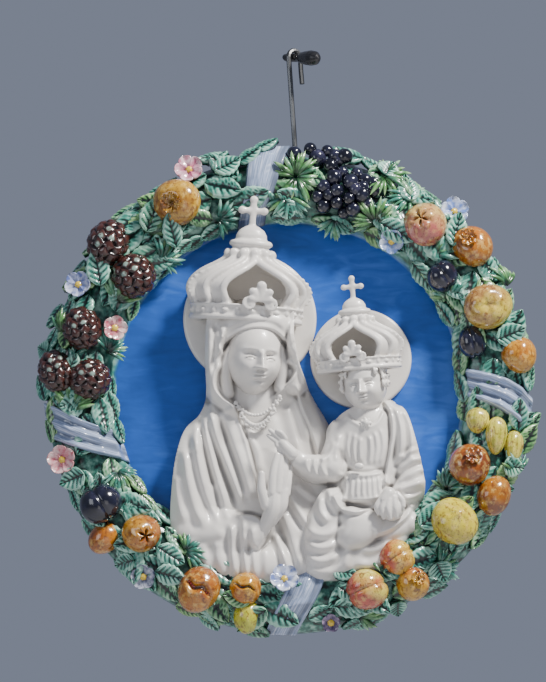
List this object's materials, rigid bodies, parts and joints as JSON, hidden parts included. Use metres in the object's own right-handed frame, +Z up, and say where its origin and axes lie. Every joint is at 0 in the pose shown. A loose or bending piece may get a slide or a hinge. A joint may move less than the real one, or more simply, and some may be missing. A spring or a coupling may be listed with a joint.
{
  "type": "decorative wall plaque",
  "caption": "Round glazed ceramic wall plaque: crowned mother and child in white relief on a blue ground inside a wreath of fruit, cones, leaves and ribbons, hung by a wire hook.",
  "frame": {"origin": "centre of the round ceramic's flat back, where it lies against the wall", "axes": "+Z up, the front faces -Y, +Y points into the wall, +X to the right as seen from the front"},
  "size_m": [0.5036, 0.0861, 0.5943],
  "materials": {
    "blue_ground_glaze": "mottled brushed cobalt glaze, satin",
    "white_glaze": "warm white satin glaze with grey in the hollows",
    "leaf_glaze": "glossy turquoise green glaze, near black in the hollows",
    "ribbon_glaze": "glossy pale blue glaze with brush streaks",
    "fruit_glaze": "glossy yellow, orange and red glazes, speckled",
    "plum_glaze": "glossy violet black glaze",
    "cone_glaze": "glossy red brown glaze with mint white touches",
    "flower_glaze": "glossy white, blue and pink glazes with yellow middles",
    "wire_steel": "dull grey steel wire",
    "black_peg": "glossy black"
  },
  "bodies": {
    "root": {"plaque": "blue_ground_glaze", "hanging_hook": "wire_steel", "wall_peg": "black_peg"}
  },
  "joints": []
}
